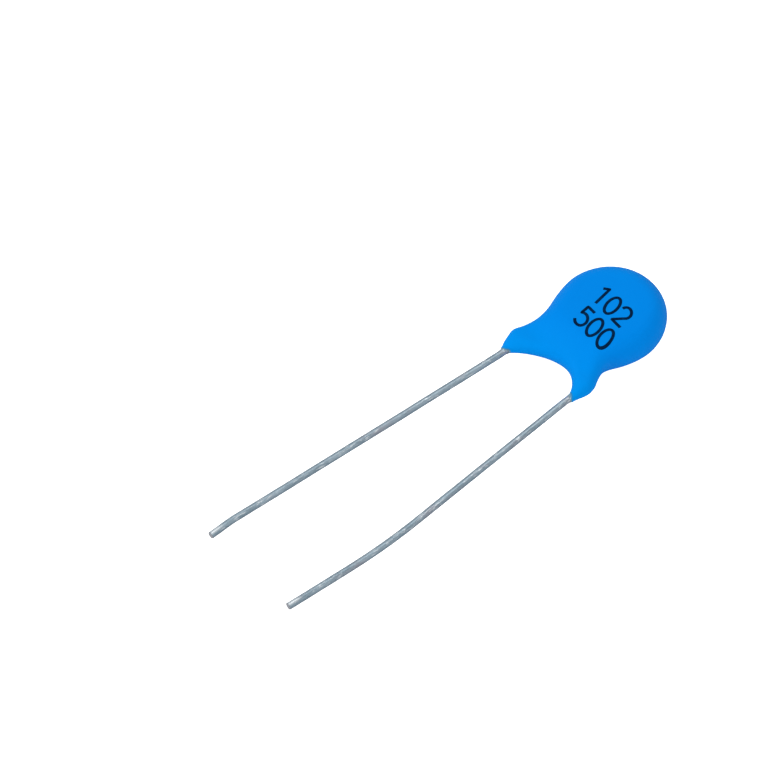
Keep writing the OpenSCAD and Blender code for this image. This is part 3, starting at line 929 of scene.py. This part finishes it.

# %% [markdown]
# ## Tin and cut steel
# Tin on a lead is grey rather than mirror-bright: it is dulled by air and scored along its length.
# Its light dashes are scuff marks with painted glints, and near each tip its top has a painted
# highlight. The finish follows the wire's own straightened coordinates. The cut end shows what is
# inside, a steel core in a thin copper jacket.

# %% Mix the greys of the tin
DULL_GREYS = (0.34, 0.44, 0.51, 1), (0.48, 0.59, 0.66, 1)
WARM_GREY = (0.45, 0.43, 0.48, 1)
# pale tin for scuff marks, and for painted glints and highlights
FRESH_TIN_AND_HIGHLIGHT = (0.92, 0.97, 1.0, 1)
STEEL, COPPERED = (0.42, 0.43, 0.46, 1), (0.34, 0.31, 0.32, 1)
CORE_RADIUS, JACKET_RADIUS = 0.19, 0.21   # millimetres
BY_RESIN = 0.9, 0.2    # millimetres past the resin: the grey turns warm from the first to the second
BY_TIP = 1.3, 0.7      # millimetres before the tip: a painted highlight on the top fades in from the first to the second
LEVEL = 0.72, 0.95     # how level the wire's surface is where the painted highlight starts, and where it is strongest
ELSEWHERE = (7, 3, 2)  # a step to another part of the same grain
MOST_WARM = 0.7


def cut_colour(tree, straight):
    """The colour of the cut end: a steel core in a thin jacket with a touch of copper."""
    across = vectors(tree, "MULTIPLY", straight, (1, 1, 0))
    radius = add(tree, "ShaderNodeVectorMath", {0: across}, operation="LENGTH", give="Value")
    return blend(tree, between(tree, radius, CORE_RADIUS, JACKET_RADIUS), STEEL, COPPERED)


def tin_greys(tree, drawn, blotches, by_resin):
    """Two greys in blotches, warmer in places and near the resin."""
    warm_place = vectors(tree, "ADD", drawn, ELSEWHERE)
    warmer = effect(tree, FINE_GRAIN, Vector=warm_place, Grains_per_mm=1.1, Fine_share=0.3)
    warmer = calculate(tree, "MAXIMUM", between(tree, warmer, 0.52, 0.66), by_resin)
    grey = blend(tree, between(tree, blotches, 0.36, 0.64), *DULL_GREYS)
    return blend(tree, calculate(tree, "MULTIPLY", warmer, MOST_WARM), grey, WARM_GREY)


print("core of the wire in mm:", 2 * CORE_RADIUS)

# %% Finish the tin
SCUFF_AND_GLINT_SHARE, MORE_BY_RESIN = 0.42, 0.12  # how much of the wire has scuff marks with painted glints, and how much more near the resin
METAL, CUT_METAL = 0.9, 0.2         # a sheared face is matt

tin, tree, shader, _ = new_material("dull_tin")
straight = from_note(tree, "straight_place", give="Vector")
cut = from_note(tree, "cut_face")
measures = tree.nodes.new("ShaderNodeSeparateXYZ")
fill(measures, 0, from_note(tree, "out_tip_up", give="Vector"))
past_resin, to_tip, up = measures.outputs
by_resin = between(tree, past_resin, *BY_RESIN)
# painted highlight on the top of each wire near its tip
painted_tip_highlight = calculate(tree, "MULTIPLY", between(tree, to_tip, *BY_TIP), between(tree, up, *LEVEL))

drawn = vectors(tree, "MULTIPLY", straight, (1, 1, 0.3))  # all that drawing the wire has stretched
blotches = effect(tree, FINE_GRAIN, Vector=drawn, Grains_per_mm=2.4, Fine_share=0.4)
amount = calculate(tree, "MULTIPLY_ADD", by_resin, MORE_BY_RESIN, SCUFF_AND_GLINT_SHARE)
# light dashes: scuff marks with painted glints, more of them near the resin
scuff_glint_mask = effect(tree, SCUFFS_AND_GLINTS, Vector=straight, Lines_per_mm=11.0, Stretch=(1, 1, 0.16), Amount=amount)
scuffs_and_highlights = calculate(tree, "MAXIMUM", scuff_glint_mask, painted_tip_highlight)
grey = blend(tree, scuffs_and_highlights, tin_greys(tree, drawn, blotches, by_resin), FRESH_TIN_AND_HIGHLIGHT)
fill(shader, "Base Color", blend(tree, cut, grey, cut_colour(tree, straight)))
fill(shader, "Metallic", calculate(tree, "MULTIPLY_ADD", cut, CUT_METAL - METAL, METAL))
fill(shader, "Specular Tint", (0.28, 0.28, 0.33, 1))
dulled = between(tree, blotches, 0.3, 0.7, 0.22, 0.36)
polish = between(tree, scuffs_and_highlights, 0.0, 1.0, 1.0, 0.7)  # scuff marks and painted highlights are smoother too
fill(shader, "Roughness", calculate(tree, "MULTIPLY", dulled, polish))
ridges = calculate(tree, "ADD", calculate(tree, "MULTIPLY", scuff_glint_mask, -0.3), blotches)
fill(shader, "Normal", dent(tree, ridges, 0.02))
print(tin.name, "nodes:", len(tree.nodes))

# %% Sweep both wires
WIRES = {"left_lead": (0.04, 4), "right_lead": (0.0, 9)}  # bow towards +X in millimetres, and seed

for name, (bow_mm, seed) in WIRES.items():
    points = [tuple(point) for point in lead_lines[name]]
    steps = [(k, k + 1) for k in range(len(points) - 1)]
    line_mesh = bpy.data.meshes.new(name)
    line_mesh.from_pydata(points, steps, [])
    wire = grown(line_mesh, wire_rule,
                 {"Radius mm": WIRE_RADIUS, "Leaves resin at mm": leaves_resin(lead_lines[name]),
                  "Bow mm": (bow_mm, 0, 0), "Wander mm": 0.02, "Wanders per mm": 0.16,
                  "Seed": seed, "Material": tin}, name.replace("lead", "wire"))
    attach(wire, "root")
    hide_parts(name)

# %% [markdown]
# ## Inside
# The ceramic, the silver and the solder are sealed in the resin, and show only in a cut model.
# Their CAD shapes are right as they are, so each keeps its mesh and gets a finish of its own.

# %% Mix the finishes of the inner pieces
def grainy_finish(name, dark, light, grains_per_mm, roughness, depth_mm, metallic):
    """A finish with one grain in its colour, its roughness and its surface."""
    material, tree, shader, place = new_material(name)
    grain = effect(tree, FINE_GRAIN, Vector=in_mm(tree, place), Grains_per_mm=grains_per_mm,
                   Fine_share=0.5)
    fill(shader, "Base Color", blend(tree, between(tree, grain, 0.3, 0.7), dark, light))
    fill(shader, "Roughness", between(tree, grain, 0.3, 0.7, *roughness))
    fill(shader, "Normal", dent(tree, grain, depth_mm))
    fill(shader, "Metallic", metallic)
    return material


ceramic = grainy_finish("fired_ceramic", (0.62, 0.50, 0.36, 1), (0.76, 0.66, 0.52, 1),
                        grains_per_mm=6.0, roughness=(0.6, 0.8), depth_mm=0.01, metallic=0.0)
silver = grainy_finish("fired_silver", (0.78, 0.77, 0.74, 1), (0.90, 0.89, 0.86, 1),
                       grains_per_mm=9.0, roughness=(0.35, 0.5), depth_mm=0.004, metallic=1.0)
solder = grainy_finish("soft_solder", (0.50, 0.51, 0.53, 1), (0.66, 0.67, 0.69, 1),
                       grains_per_mm=1.6, roughness=(0.2, 0.42), depth_mm=0.02, metallic=1.0)
print("inner finishes:", ceramic.name, silver.name, solder.name)

# %% Finish the inner pieces
INNER_FINISHES = {
    "ceramic_disc": ceramic,
    "front_electrode": silver,
    "back_electrode": silver,
    "front_solder": solder,
    "back_solder": solder,
}


def dress(solid, material):
    if not solid.material_slots:
        solid.data.materials.append(None)
    for slot in solid.material_slots:
        slot.link = "OBJECT"
        slot.material = material


for name, material in INNER_FINISHES.items():
    dress(solids[name], material)
    print(name, "is finished in", material.name)
